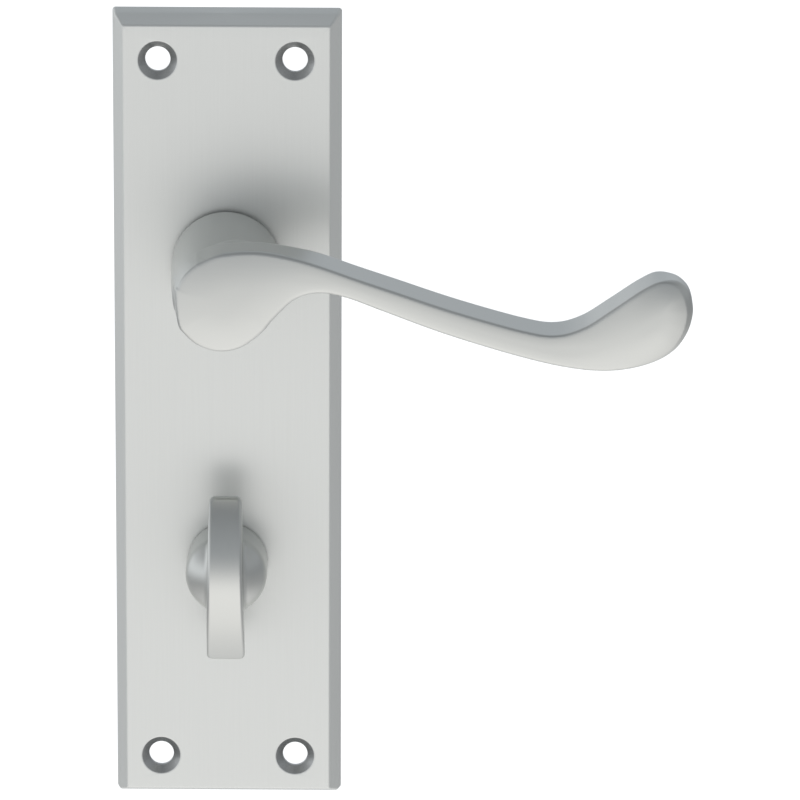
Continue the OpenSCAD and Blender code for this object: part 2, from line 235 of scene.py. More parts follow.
def drilled(body, p, y, r, bottom):
    """Cuts a hole that runs up from below into a body, as far as bottom under its axis."""
    hole = np.maximum(np.hypot(p[:, 0], p[:, 1] - y) - r, p[:, 2] + bottom)
    return meet(body, -hole, HOLE_ROUND)


def cell_points(d):
    """One point in each cell of a grid of distances that the surface crosses, the mean of the
    crossings on the cell's edges. Also a grid that gives each cell its point's number."""
    corners = [(i, j, k) for i in (0, 1) for j in (0, 1) for k in (0, 1)]
    n = np.array(d.shape) - 1

    def at(a, c):
        return a[c[0]:c[0] + n[0], c[1]:c[1] + n[1], c[2]:c[2] + n[2]]

    inside = d < 0
    count = sum(at(inside, c).astype(int) for c in corners)
    active = (count > 0) & (count < len(corners))
    ids = np.full(active.shape, -1)
    ids[active] = np.arange(active.sum())
    total = np.zeros((active.sum(), 3))
    hits = np.zeros(active.sum())
    for a in corners:
        for axis in range(3):
            if a[axis]:
                continue
            b = tuple(v + (k == axis) for k, v in enumerate(a))
            da, db = at(d, a)[active], at(d, b)[active]
            cross = (da < 0) != (db < 0)
            t = np.where(cross, da / np.where(cross, da - db, 1), 0)
            total += (np.array(a) + np.eye(3)[axis] * t[:, None]) * cross[:, None]
            hits += cross
    return np.argwhere(active) + total / hits[:, None], ids


def cell_quads(inside, ids):
    """A quad between the points of the four cells round each grid edge that the surface
    crosses, facing out."""
    shape = inside.shape
    quads = []
    for axis in range(3):
        u, v = (axis + 1) % 3, (axis + 2) % 3
        low = inside.take(range(shape[axis] - 1), axis)
        high = inside.take(range(1, shape[axis]), axis)
        p = np.argwhere(low != high)
        p = p[(p[:, u] > 0) & (p[:, u] < shape[u] - 1) & (p[:, v] > 0) & (p[:, v] < shape[v] - 1)]
        eu, ev = np.eye(3, dtype=int)[u], np.eye(3, dtype=int)[v]
        q = np.stack([ids[tuple(w.T)] for w in (p - eu - ev, p - ev, p, p - eu)], 1)
        quads.append(np.where(low[tuple(p.T)][:, None], q, q[:, ::-1]))
    return np.concatenate(quads)


def surface_net(field, lo, hi, cell):
    """Vertices, quads and normals of the surface where field is 0. The vertices are evened out
    along the surface and pulled on to it by the field's slope."""
    axes = [np.arange(a - NET_MARGIN * cell, b + NET_MARGIN * cell, cell) for a, b in zip(lo, hi)]
    grid = np.stack(np.meshgrid(*axes, indexing="ij"), -1).reshape(-1, 3)
    d = np.concatenate([field(part) for part in np.array_split(grid, FIELD_PARTS)])
    d = d.reshape([len(a) for a in axes])
    points, ids = cell_points(d)
    verts = np.array([a[0] for a in axes]) + cell * points
    quads = cell_quads(d < 0, ids)
    ends = np.concatenate([quads[:, [i, (i + 1) % 4]] for i in range(4)])
    links = np.bincount(ends[:, 0], minlength=len(verts))
    step = cell * SLOPE_STEP
    for turn in range(NET_ROUNDS):
        if turn in EVEN_ROUNDS:
            near = [np.bincount(ends[:, 0], verts[ends[:, 1], k], len(verts)) for k in range(3)]
            verts = (verts + np.stack(near, 1) / links[:, None]) / 2
        f = field(verts)
        slope = np.stack([field(verts + step * e) - f for e in np.eye(3)], 1) / step
        size = np.maximum((slope ** 2).sum(1), MIN_SLOPE)
        verts -= np.clip(f / size, -cell / 2, cell / 2)[:, None] * slope
    slope = np.stack([field(verts + step * e) - field(verts - step * e) for e in np.eye(3)], 1)
    return verts, quads, slope / np.linalg.norm(slope, axis=1)[:, None]


def make_casting(name, field, lo, hi, cell, height, body, slot, node):
    """A piece from a field about its own axis, lifted to that axis's height on the plate."""
    verts, quads, normals = surface_net(field, lo, hi, cell)
    verts[:, 2] += height
    mesh = bpy.data.meshes.new(name)
    mesh.from_pydata((verts * MM).tolist(), [], quads.tolist())
    mesh.polygons.foreach_set("use_smooth", [True] * len(quads))
    mesh.update()
    mesh.normals_split_custom_set_from_vertices(normals.tolist())
    return add_piece(name, mesh, body, slot, node)


# ---------------------------------------------------------------- the lever
# Lengths along the lever are X from its axis and depths run back from its front.

LEVER_CELL = 0.3
ARM_DEPTH = 9.5
HEAD_R = 8.5
DRAFT = 0.085               # the sides widen by this for each mm behind the front face
SOCKET_HALF, TURN_SOCKET_HALF = 4.05, 2.55      # half widths of the spindles' square sockets
JOURNAL_R, TURN_JOURNAL_R = 7.0, 5.0
GRUB_Y, GRUB_R = -14.0, 2.55                    # the grub screw's hole, under the neck

# Where along the lever one part of it gives way to the next
HEAD_TO_ARM = 4, 18
ARM_TO_SCROLL = 60, 74
SCROLL_TO_TIP = 77, 83

# The shoulder is the top of the head and of the arm's root
SHOULDER_IN, SHOULDER_OUT, SHOULDER_UP = (-3, 2), (10, 18), (1, 5)

# Rounding of the edges at front and back, and what the shoulder and the tip add to it
FRONT_ROUND, SHOULDER_FRONT = 0.32, 0.3
BACK_ROUND, SHOULDER_BACK, TIP_BACK = 2.0, 1.5, 1.8
TIP_FRONT, TIP_FRONT_TOP = 0.6, 0.8
TIP_FRONT_ALONG, TIP_FRONT_UP = (78, 85), (-8, 5)

# The front falls away over a band inside its outline, and more sharply right at the edge
CROWN_W, HEAD_CROWN_W, SCROLL_CROWN_W = 2, 4.5, 3.5
BOW, TIP_BOW, TIP_BOW_ALONG = 0.03, 0.07, (72, 82)
LIP, LIP_W = 0.05, 0.9

# The front also leans back and curves across its midline, which climbs, drops and climbs again.
# Each row is what that adds to the height above the midline, and between which X.
MIDLINE = (-3.2, 0, 24), (11.4, 20, 62), (-4.2, 58, 76)
FRONT_SET, LEAN, CURVE = 0.24, 0.05, 0.003

# The neck starts inside the arm, a little thinner at first, and flares to its foot
NECK_START, NECK_FULL = 4.8, 7.5
NECK_SUNK = 0.6
NECK_FLARE, NECK_STRAIGHTENS = 0.0895, 0.00123
FOOT_ROUND = 0.4

# Fillet between the neck and the arm, on the arm's side of a slanted line only
ROOT_FILLET = 3.5
ROOT_SLANT, ROOT_START, ROOT_LENGTH = 0.5, 2, 6
ROOT_DEPTH = 5.5, 9

# Edge of the lever's front, as pairs of points on its under side and its top side, from the neck
# of the head out to the tip of the scroll
STATIONS = [((7.65, -4.55), (0.2, 9.2)), ((9.4, -2.4), (6, 9.65)), ((13.2, 1.2), (11.6, 8.9)),
            ((17.6, 2.4), (18, 7.05)), ((22.6, 1.5), (24, 4.95)), ((29, -0.9), (31, 2.6)),
            ((40, -5), (42, -1.1)), ((52.6, -8.9), (54, -4.5)), ((62, -11.1), (60, -5.3)),
            ((69.5, -11.7), (65, -3.9)), ((76, -10.6), (70, -0.7)), ((80.8, -8.3), (75, 2.7)),
            ((83.4, -5.1), (78.5, 4.4)), ((84.5, -1.6), (81.5, 4.55)), ((84.3, 1.1), (83.4, 3.15))]

# Arcs of the head's circle below and above, in degrees, from the back of the head to the stations
HEAD_LOW, HEAD_TOP = (186, 311), (174, 116)
HEAD_STEPS = 7
EDGE_STEPS = 12             # segments of the outline between two of its points
PLAN_CELL = 0.25
PLAN_MARGIN = 3.0           # room round the outline that distances are held for


def head_arc(start, end):
    angles = np.radians([start + (end - start) * k / HEAD_STEPS for k in range(1, HEAD_STEPS + 1)])
    return [(HEAD_R * math.cos(a), HEAD_R * math.sin(a)) for a in angles]


def lever_edge():
    """Closed curve through the head's arcs and the stations, anticlockwise seen from the front,
    smooth through every point."""
    low = head_arc(*HEAD_LOW) + [s[0] for s in STATIONS]
    top = head_arc(*HEAD_TOP) + [s[1] for s in STATIONS]
    p = np.array(low + top[::-1])
    a, b, c, d = np.roll(p, 1, 0), p, np.roll(p, -1, 0), np.roll(p, -2, 0)
    rows = []
    for t in np.arange(EDGE_STEPS) / EDGE_STEPS:
        rows.append(0.5 * (2 * b + t * (c - a) + t * t * (2 * a - 5 * b + 4 * c - d)
                           + t ** 3 * (3 * b - a - 3 * c + d)))
    return np.stack(rows, 1).reshape(-1, 2)


def distance_to_curve(points, curve):
    """Signed distance in the plane to a closed curve, negative inside."""
    best = np.full(len(points), np.inf)
    inside = np.zeros(len(points), bool)
    for a, b in zip(curve, np.roll(curve, -1, 0)):
        edge, rel = b - a, points - a
        t = np.clip(rel @ edge / (edge @ edge), 0, 1)
        best = np.minimum(best, ((rel - t[:, None] * edge) ** 2).sum(1))
        if a[1] != b[1]:
            crosses = (a[1] > points[:, 1]) != (b[1] > points[:, 1])
            inside ^= crosses & (rel[:, 0] < edge[0] * rel[:, 1] / edge[1])
    return np.where(inside, -1, 1) * np.sqrt(best)


class Plan:
    """Distance to a closed curve, held on a square grid and read with cubic weights. The grid
    has one point more than it needs before its low corner and two after its high one."""

    def __init__(self, curve):
        self.low = curve.min(0) - PLAN_MARGIN
        high = curve.max(0) + PLAN_MARGIN
        self.shape = np.ceil((high - self.low) / PLAN_CELL).astype(int) + 4
        ij = np.stack(np.meshgrid(*[np.arange(s) for s in self.shape], indexing="ij"), -1)
        points = self.low + (ij.reshape(-1, 2) - 1) * PLAN_CELL
        self.values = distance_to_curve(points, curve).reshape(self.shape)

    def __call__(self, x, z):
        u = (np.stack([x, z]) - self.low[:, None]) / PLAN_CELL + 1
        i = np.clip(np.floor(u).astype(int), 1, self.shape[:, None] - 3)
        t = u - i
        w = [0.5 * (-t + 2 * t ** 2 - t ** 3), 0.5 * (2 - 5 * t ** 2 + 3 * t ** 3),
             0.5 * (t + 4 * t ** 2 - 3 * t ** 3), 0.5 * (t ** 3 - t ** 2)]
        return sum(w[j][0] * w[k][1] * self.values[i[0] + j - 1, i[1] + k - 1]
                   for j in range(4) for k in range(4))


def lever_front(edge, x, z, head, scroll):
    """Depth of the front's surface."""
    width = CROWN_W + HEAD_CROWN_W * head + SCROLL_CROWN_W * scroll
    bow = BOW + TIP_BOW * smooth(*TIP_BOW_ALONG, x)
    crown = bow * width * fall(edge, width) ** 2 + LIP * fall(edge, LIP_W) ** 3
    up = z
    for rise, start, end in MIDLINE:
        up = up + rise * smooth(start, end, x)
    return FRONT_SET + LEAN * up + CURVE * up ** 2 + crown


def lever_arm(edge, x, z, depth):
    head, scroll = 1 - smooth(*HEAD_TO_ARM, x), smooth(*ARM_TO_SCROLL, x)
    tip = smooth(*SCROLL_TO_TIP, x)
    shoulder = smooth(*SHOULDER_IN, x) * (1 - smooth(*SHOULDER_OUT, x)) * smooth(*SHOULDER_UP, z)
    tip_front = smooth(*TIP_FRONT_ALONG, x) * (
        TIP_FRONT + TIP_FRONT_TOP * smooth(*TIP_FRONT_UP, z))
    side = edge - DRAFT * (1 - tip) * depth
    front = lever_front(edge, x, z, head, scroll) - depth
    arm = meet(side, front, FRONT_ROUND + SHOULDER_FRONT * shoulder + tip_front)
    return meet(arm, depth - ARM_DEPTH, BACK_ROUND + SHOULDER_BACK * shoulder + TIP_BACK * tip)


def lever_neck(x, z, depth, y):
    sunk = NECK_SUNK * (1 - smooth(NECK_START, NECK_FULL, depth))
    radius = HEAD_R + NECK_FLARE * depth - NECK_STRAIGHTENS * depth ** 2
    neck = meet(np.hypot(x, z) + sunk - radius, y - NECK_Y, FOOT_ROUND)
    return np.maximum(neck, NECK_START - depth)


def make_lever():
    plan = Plan(lever_edge())

    def field(p):
        x, y, z = p.T
        depth = y - LEVER_FRONT
        beyond = (x + ROOT_SLANT * z - ROOT_START) / ROOT_LENGTH
        fillet = ROOT_FILLET * smooth(0, 1, beyond) * smooth(*ROOT_DEPTH, depth)
        body = join(lever_arm(plan(x, z), x, z, depth), lever_neck(x, z, depth, y), fillet)
        return drilled(body, p, GRUB_Y, GRUB_R, SOCKET_HALF)

    lo = (LEVER_LO[0], LEVER_FRONT, LEVER_LO[2] - LEVER_Z)
    hi = (LEVER_HI[0], NECK_Y, LEVER_HI[2] - LEVER_Z)
    return make_casting("lever_casting", field, lo, hi, LEVER_CELL, LEVER_Z, "lever",
                        "lever_satin", "lever")


# ---------------------------------------------------------------- the thumb turn
# Distances out from the door face are positive towards the room.

TURN_CELL = 0.24
BLADE_H = TURN_HI[2] - TURN_LO[2]
BLADE_TOP_W, BLADE_LOW_W = 6.0, 7.0
BLADE_CORNER = 1.1
BLADE_ROUND = 0.55
CROWN_RISE = 6.1            # how far the blade's crown stands proud of its two ends
BLADE_END = 1.5             # depth of the blade at its ends
BLADE_ROOT = 4.0            # how far under the boss's top the blade's back runs into the boss
BOSS_R = 7.5
ROOT_INSET = 1.0            # and how far inside the boss's side
BOSS_SIDE = 15.0            # end of the boss's straight side
BOSS_TOP = 21.0             # top of its dome, inside the blade
BOSS_FOOT_ROUND = 0.3
TURN_FILLET = 0.8
TURN_GRUB_Y, TURN_GRUB_R = -10.6, 2.05          # the grub screw's hole, under the boss


def blade_field(x, z, out):
    """A bar with rounded corners, arched in front and thinning to its ends behind."""
    half = BLADE_H / 2
    width = (BLADE_TOP_W + BLADE_LOW_W) / 2 + (BLADE_TOP_W - BLADE_LOW_W) * z / BLADE_H
    qx, qz = np.abs(x) - width / 2 + BLADE_CORNER, np.abs(z) - half + BLADE_CORNER
    edge = np.hypot(np.maximum(qx, 0), np.maximum(qz, 0)) + np.minimum(np.maximum(qx, qz), 0)
    edge -= BLADE_CORNER
    crown_r = (half ** 2 + CROWN_RISE ** 2) / 2 / CROWN_RISE
    front = np.hypot(out + TURN_FRONT + crown_r, z) - crown_r
    end_back = -TURN_FRONT - CROWN_RISE - BLADE_END
    rise = BOSS_TOP - BLADE_ROOT - end_back
    back = end_back + rise * (half - np.abs(z)) / (half - (BOSS_R - ROOT_INSET)) - out
    return meet(meet(edge, front, BLADE_ROUND), back, BLADE_ROUND)


def boss_field(x, z, out):
    """A short cylinder with a domed end."""
    radius = np.hypot(x, z)
    straight = meet(radius - BOSS_R, -out - BOSS_Y, BOSS_FOOT_ROUND)
    dome_h = BOSS_TOP - BOSS_SIDE
    up = out - BOSS_SIDE
    scaled = np.hypot(radius / BOSS_R, up / dome_h)
    dome = (scaled - 1) * scaled / np.maximum(
        np.hypot(radius / BOSS_R ** 2, up / dome_h ** 2), TINY)
    return np.where(out > BOSS_SIDE, dome, straight)


def turn_field(p):
    x, y, z = p.T
    body = join(blade_field(x, z, -y), boss_field(x, z, -y), TURN_FILLET)
    return drilled(body, p, TURN_GRUB_Y, TURN_GRUB_R, TURN_SOCKET_HALF)


def make_turn():
    lo = (-BOSS_R, TURN_FRONT, TURN_LO[2] - TURN_Z)
    hi = (BOSS_R, BOSS_Y, TURN_HI[2] - TURN_Z)
    return make_casting("turn_casting", turn_field, lo, hi, TURN_CELL, TURN_Z, "turn",
                        "turn_satin", "thumb_turn")


# ---------------------------------------------------------------- the backplate

WALL_DEPTH = 3.2            # depth of the steep side walls, up to the bevel
WALL_TAPER = 0.5            # how far they lean in over that depth
BEVEL_W = 1.5
CORNER_R, FACE_CORNER_R = 0.6, 0.3              # the outline's corners at the door and the face
RIM_W = 3.0                 # width of the rim that bears on the door
BACK_EDGE_ROUND, EDGE_ROUND = 0.25, 0.35
EDGE_ROUND_STEPS, SINK_ROUND_STEPS = 4, 3
FACE_STRIP = 2.0            # flat of the face that the bevel's rounded edge runs into
RECESS_CORNER_R = 2.0
SCREW_DX, SCREW_DZ = 25.0, 133.0
SCREW_R, SINK_R = 2.3, 3.6  # a door screw's hole and its countersink
SINK_MOUTH_ROUND, SINK_FLOOR_ROUND = 0.18, 0.12
BUSH_WALL = 1.2             # a bush's wall, between the journal and the plate
LEVER_HOLE_STEPS, SMALL_HOLE_STEPS, POST_STEPS = 64, 48, 32
POST_R, POST_BORE = 3.4, 1.5
POST_RING = 20.2            # height of the cassette's posts above and below the lever's axis
EARS_T = 1.0                # the cup's ear and the lid's, which lie on the posts' ends
POST_END = LID_BACK - EARS_T
POST_CHAMFER = 0.2
POST_BORE_END = FACE_Y + 1  # leaves 1 mm of metal under the face
PLATE_SHARP = 28            # edges are shaded sharp from this angle
SINK_SLOT_MARGIN = 0.02     # keeps the flat faces at both ends out of the countersinks' painted shade


def make_backplate():
    bm = bmesh.new()
    face_inset = WALL_TAPER + BEVEL_W
    side = [(0, RIM_W), (0, 0), (-WALL_DEPTH, WALL_TAPER), (FACE_Y, face_inset),
            (FACE_Y, face_inset + FACE_STRIP)]
    loops = []
    for y, inset in rounded(side, [BACK_EDGE_ROUND, EDGE_ROUND, EDGE_ROUND], EDGE_ROUND_STEPS):
        r = CORNER_R + (FACE_CORNER_R - CORNER_R) * min(inset / face_inset, 1)
        loops.append(add_loop(bm, rect_pts(PLATE_W - 2 * inset, PLATE_H - 2 * inset, r, y)))
    recess = [add_loop(bm, rect_pts(PLATE_W - 2 * RIM_W, PLATE_H - 2 * RIM_W, RECESS_CORNER_R, y))
              for y in (0, SHEET_Y)]
    bridge_all(bm, [recess[1], recess[0]] + loops)

    holes_front, holes_back = [], []

    def drill(cx, cz, steps, n):
        rings = [add_loop(bm, circle_pts(cx, cz, r, y, n)) for r, y in steps]
        bridge_all(bm, rings)
        holes_front.append(rings[0])
        holes_back.append(rings[-1])

    sink = [(SINK_R + 1, FACE_Y), (SINK_R, FACE_Y), (SCREW_R, FACE_Y + SINK_R - SCREW_R),
            (SCREW_R, SHEET_Y)]
    sink = rounded(sink, [SINK_MOUTH_ROUND, SINK_FLOOR_ROUND], SINK_ROUND_STEPS)
    for sx in (-1, 1):
        for sz in (-1, 1):
            drill(sx * SCREW_DX / 2, sz * SCREW_DZ / 2, sink, SMALL_HOLE_STEPS)
    for cz, journal_r, n in ((LEVER_Z, JOURNAL_R, LEVER_HOLE_STEPS),
                             (TURN_Z, TURN_JOURNAL_R, SMALL_HOLE_STEPS)):
        drill(0, cz, [(journal_r + BUSH_WALL, FACE_Y), (journal_r + BUSH_WALL, SHEET_Y)], n)
    fill_between(bm, [loops[-1]] + holes_front)
    for s in (-1, 1):
        rings = [add_loop(bm, circle_pts(0, LEVER_Z + s * POST_RING, r, y, POST_STEPS))
                 for r, y in ((POST_R, SHEET_Y), (POST_R, POST_END - POST_CHAMFER),
                              (POST_R - POST_CHAMFER, POST_END), (POST_BORE, POST_END),
                              (POST_BORE, POST_BORE_END))]
        bridge_all(bm, rings)
        bm.faces.new(rings[-1])
        holes_back.append(rings[0])
    fill_between(bm, [recess[1]] + holes_back)
    plate = finish_mesh("plate_pressing", bm, "plate", "plate_satin", PLATE_SHARP, "backplate")
    # Faces inside the countersinks take the plate's second material, a darker satin that paints
    # shade into them.
    for face in plate.data.polygons:
        x, y, z = face.center / MM
        reach = math.hypot(abs(x) - SCREW_DX / 2, abs(z) - SCREW_DZ / 2)
        within = FACE_Y + SINK_SLOT_MARGIN < y < SHEET_Y - SINK_SLOT_MARGIN
        face.material_index = int(reach < SINK_R and within)
    return plate


# ---------------------------------------------------------------- turned and square pieces

TURNED_SHARP, BAR_SHARP = 35, 25
JOURNAL_STEPS, BUSH_STEPS = 128, 96
JOURNAL_ROOT = 1.5          # how far a journal starts inside its casting
GROOVE_DEPTH, GROOVE_PLAY = 0.7, 0.05
FLAT_RUN = 0.01             # length in which the round of a journal changes to its flats
JOURNAL_CHAMFER = 0.2
LEVER_FLAT_HALF = 6.0       # half the distance across the flats that the cam sits on
NO_FLAT = 9.0               # wider than the turn's journal, which stays round
BORE_PLAY, BORE_CHAMFER = 0.05, 0.12
BUSH_CHAMFER, FLANGE_CHAMFER = 0.15, 0.06
BAR_CHAMFER = 0.09          # as a part of half the bar's width


def make_journal(name, cz, foot_y, r, end, groove, body, slot, flat_from, flat_half, bar_half):
    """The spindle end of a casting, from inside its foot back through the bush, with a groove
    for its circlip, two flats and a square socket."""
    bm = bmesh.new()
    start = foot_y - JOURNAL_ROOT
    groove_r = r - GROOVE_DEPTH
    groove_lo, groove_hi = groove[0] - GROOVE_PLAY, groove[1] + GROOVE_PLAY
    mouth = end - JOURNAL_CHAMFER

    def flatted(radius):
        return lambda a: min(radius, flat_half / max(abs(math.sin(a)), TINY))

    outer = [(r, start), (r, flat_from)]
    outer += [(flatted(q), y) for q, y in (
        (r, flat_from + FLAT_RUN), (r, groove_lo), (groove_r, groove_lo), (groove_r, groove_hi),
        (r, groove_hi), (r, mouth), (r - JOURNAL_CHAMFER, end))]
    socket = square_r(bar_half)
    inner = [(square_r(bar_half + JOURNAL_CHAMFER), end), (socket, mouth), (socket, start)]
    turned(bm, cz, outer + inner, JOURNAL_STEPS)
    return finish_mesh(name, bm, body, slot, TURNED_SHARP)


def make_bar(name, node, lo, hi, body):
    """A square bar with chamfered corners and ends, the far end's chamfer twice as long."""
    bm = bmesh.new()
    half = (hi[0] - lo[0]) / 2
    cz = (lo[2] + hi[2]) / 2
    chamfer = half * BAR_CHAMFER
    loops = []
    for y, inset in ((lo[1], chamfer), (lo[1] + chamfer, 0), (hi[1] - 2 * chamfer, 0),
                     (hi[1], 2 * chamfer)):
        w = half - inset
        ring = []
        for sx, sz in ((1, 1), (-1, 1), (-1, -1), (1, -1)):
            pair = [(sx * w, y, cz + sz * (w - chamfer)), (sx * (w - chamfer), y, cz + sz * w)]
            ring += pair if sx == sz else pair[::-1]
        loops.append(add_loop(bm, ring))
    bridge_all(bm, loops)
    bm.faces.new(loops[0])
    bm.faces.new(loops[-1])
    return finish_mesh(name, bm, body, "bar_steel", BAR_SHARP, node)


def make_bush(name, node, cz, journal_r, lo, hi):
    """A bearing with its flange on the plate's face."""
    bm = bmesh.new()
    flange_r = (hi[0] - lo[0]) / 2
    wall_r = journal_r + BUSH_WALL
    bore = journal_r + BORE_PLAY
    turned(bm, cz, [(bore + BORE_CHAMFER, hi[1]), (wall_r - BUSH_CHAMFER, hi[1]),
                    (wall_r, hi[1] - BUSH_CHAMFER), (wall_r, FACE_Y), (flange_r, FACE_Y),
                    (flange_r, lo[1] + FLANGE_CHAMFER), (flange_r - FLANGE_CHAMFER, lo[1]),
                    (bore, lo[1]), (bore, hi[1] - BORE_CHAMFER)], BUSH_STEPS)
    return finish_mesh(name, bm, "plate", "black_nylon", TURNED_SHARP, node)


# ---------------------------------------------------------------- materials
# Noise scales are in waves per metre, and bump heights in metres. A grain is the noise's scale
# along each axis, where a small number draws it out.

NOISE_LOW, NOISE_HIGH = 0.3, 0.7                # noise lies mostly between these
PLAIN = (1, 1, 1)
UP_GRAIN = (1, 1, 0.02)
ALONG_GRAIN = (0.03, 1, 1)
BAR_GRAIN = (1, 0.04, 1)
FINE_GRAIN, TURN_GRAIN = 3200, 1200
GRAIN_DETAIL, GRAIN_ROUGH, GRAIN_BUMP = 2.0, 0.6, 3e-7
GRAIN_SHARE = 0.75          # of the tone's change, the rest being the clouds'
SATIN_CLOUDS, STEEL_CLOUDS, NYLON_CLOUDS = 40, 160, 220
SATIN_SWING, STEEL_SWING, NYLON_SWING = 0.01, 0.06, 0.05       # of roughness, either way
TOOTH, TOOTH_BUMP = 900, 6e-6
PEBBLE, PEBBLE_BUMP = 1800, 1.5e-5


def new_material(name):
    mat = bpy.data.materials.new(name)
    mat.use_nodes = True
    tree = mat.node_tree
    tree.nodes.clear()
    out = tree.nodes.new("ShaderNodeOutputMaterial")
    shader = tree.nodes.new("ShaderNodeBsdfPrincipled")
    tree.links.new(shader.outputs["BSDF"], out.inputs["Surface"])
    return mat, tree, shader


def noise(tree, scale, detail=3.0, stretch=PLAIN, rough=0.5):
    """Noise over the piece's own coordinates, in metres, stretched along one axis."""
    coords = tree.nodes.new("ShaderNodeTexCoord")
    place = tree.nodes.new("ShaderNodeMapping")
    place.inputs["Scale"].default_value = stretch
    tex = tree.nodes.new("ShaderNodeTexNoise")
    tex.inputs["Scale"].default_value = scale
    tex.inputs["Detail"].default_value = detail
    tex.inputs["Roughness"].default_value = rough
    tree.links.new(coords.outputs["Object"], place.inputs["Vector"])
    tree.links.new(place.outputs["Vector"], tex.inputs["Vector"])
    return tex.outputs["Fac"]


def spread(tree, value, low, high):
    """Maps noise to values from low to high."""
    node = tree.nodes.new("ShaderNodeMapRange")
    node.inputs["From Min"].default_value = NOISE_LOW
    node.inputs["From Max"].default_value = NOISE_HIGH
    node.inputs["To Min"].default_value = low
    node.inputs["To Max"].default_value = high
    tree.links.new(value, node.inputs["Value"])
    return node.outputs["Result"]


def tint(tree, shader, value, low, high):
    """Colours a shader from low to high as noise goes up."""
    mix = tree.nodes.new("ShaderNodeMix")
    mix.data_type = "RGBA"
    mix.inputs["A"].default_value = (*low, 1)
    mix.inputs["B"].default_value = (*high, 1)
    tree.links.new(spread(tree, value, 0, 1), mix.inputs["Factor"])
    tree.links.new(mix.outputs["Result"], shader.inputs["Base Color"])


def add_texture(tree, shader, value, rough, swing, height):
    """Lets noise change a shader's roughness by swing either way and its surface by height."""
    tree.links.new(spread(tree, value, rough - swing, rough + swing), shader.inputs["Roughness"])
    bump = tree.nodes.new("ShaderNodeBump")
    bump.inputs["Distance"].default_value = height
    tree.links.new(value, bump.inputs["Height"])
    tree.links.new(bump.outputs["Normal"], shader.inputs["Normal"])


def scaled(tree, value, share, add=None):
    """A value times a share, plus another value if there is one."""
    node = tree.nodes.new("ShaderNodeMath")
    node.operation = "MULTIPLY_ADD" if add else "MULTIPLY"
    node.inputs[1].default_value = share
    tree.links.new(value, node.inputs[0])
    if add:
        tree.links.new(add, node.inputs[2])
    return node.outputs[0]


def brushed(name, dark, light, rough, grain, metallic=1.0, across=0.0, scale=FINE_GRAIN):
    """Satin plated metal: fine grain along one axis over faint wide clouds of tone. With
    across, reflections widen across a grain that runs up and down."""
    mat, tree, shader = new_material(name)
    shader.inputs["Metallic"].default_value = metallic
    if across:
        shader.inputs["Anisotropic"].default_value = across
        round_z = tree.nodes.new("ShaderNodeTangent")
        round_z.direction_type = "RADIAL"
        round_z.axis = "Z"
        tree.links.new(round_z.outputs["Tangent"], shader.inputs["Tangent"])
    lines = noise(tree, scale, GRAIN_DETAIL, grain, GRAIN_ROUGH)
    clouds = scaled(tree, noise(tree, SATIN_CLOUDS, GRAIN_DETAIL), 1 - GRAIN_SHARE)
    tint(tree, shader, scaled(tree, lines, GRAIN_SHARE, clouds), dark, light)
    add_texture(tree, shader, lines, rough, SATIN_SWING, GRAIN_BUMP)
    return mat


def plain_metal(name, dark, light, rough, stretch=PLAIN):
    """Bare or plated steel with a fine tooth and a slow change of tone."""
    mat, tree, shader = new_material(name)
    shader.inputs["Metallic"].default_value = 1.0
    tint(tree, shader, noise(tree, STEEL_CLOUDS), dark, light)
    tooth = noise(tree, TOOTH, stretch=stretch)
    add_texture(tree, shader, tooth, rough, STEEL_SWING, TOOTH_BUMP)
    return mat


def moulded(name, dark, light, rough):
    """Moulded nylon with a fine pebble and faint mottling."""
    mat, tree, shader = new_material(name)
    tint(tree, shader, noise(tree, NYLON_CLOUDS), dark, light)
    pebble = noise(tree, PEBBLE, GRAIN_DETAIL)
    add_texture(tree, shader, pebble, rough, NYLON_SWING, PEBBLE_BUMP)
    return mat


def make_materials():
    """A material for each of the record's material slots, and one for the countersinks, a darker
    satin that paints shade into them.
    """
    chrome = {"dark": (0.672, 0.681, 0.660), "light": (0.684, 0.693, 0.672), "rough": 0.29}
    rows = {
        "plate_satin": (brushed, dict(dark=(0.745, 0.755, 0.735), light=(0.765, 0.775, 0.755),
                                      rough=0.4, grain=UP_GRAIN, metallic=0.75, across=0.4)),
        # The countersinks' satin is darker than the plate's: painted shade for their hollows.
        "sink_painted_shade": (brushed, dict(dark=(0.47, 0.475, 0.47), light=(0.57, 0.575, 0.57),
                                     rough=0.29, grain=PLAIN)),
        "lever_satin": (brushed, dict(chrome, grain=ALONG_GRAIN)),
        "turn_satin": (brushed, dict(chrome, grain=UP_GRAIN, scale=TURN_GRAIN)),
        "black_nylon": (moulded, dict(dark=(0.012, 0.012, 0.013), light=(0.03, 0.03, 0.03),
                                      rough=0.5)),
        "white_nylon": (moulded, dict(dark=(0.62, 0.6, 0.54), light=(0.74, 0.72, 0.67),
                                      rough=0.45)),
        "zinc_plate": (plain_metal, dict(dark=(0.5, 0.52, 0.56), light=(0.66, 0.67, 0.69),
                                         rough=0.34)),
        "pin_steel": (plain_metal, dict(dark=(0.42, 0.42, 0.43), light=(0.55, 0.55, 0.56),
                                        rough=0.34)),
        "spring_steel": (plain_metal, dict(dark=(0.1, 0.105, 0.12), light=(0.19, 0.2, 0.22),
                                           rough=0.36)),
        "bar_steel": (plain_metal, dict(dark=(0.42, 0.42, 0.42), light=(0.56, 0.56, 0.55),
                                        rough=0.35, stretch=BAR_GRAIN)),
        "black_steel": (plain_metal, dict(dark=(0.02, 0.02, 0.022), light=(0.045, 0.045, 0.05),
                                          rough=0.45)),
    }
    return {name: make(name, **values) for name, (make, values) in rows.items()}


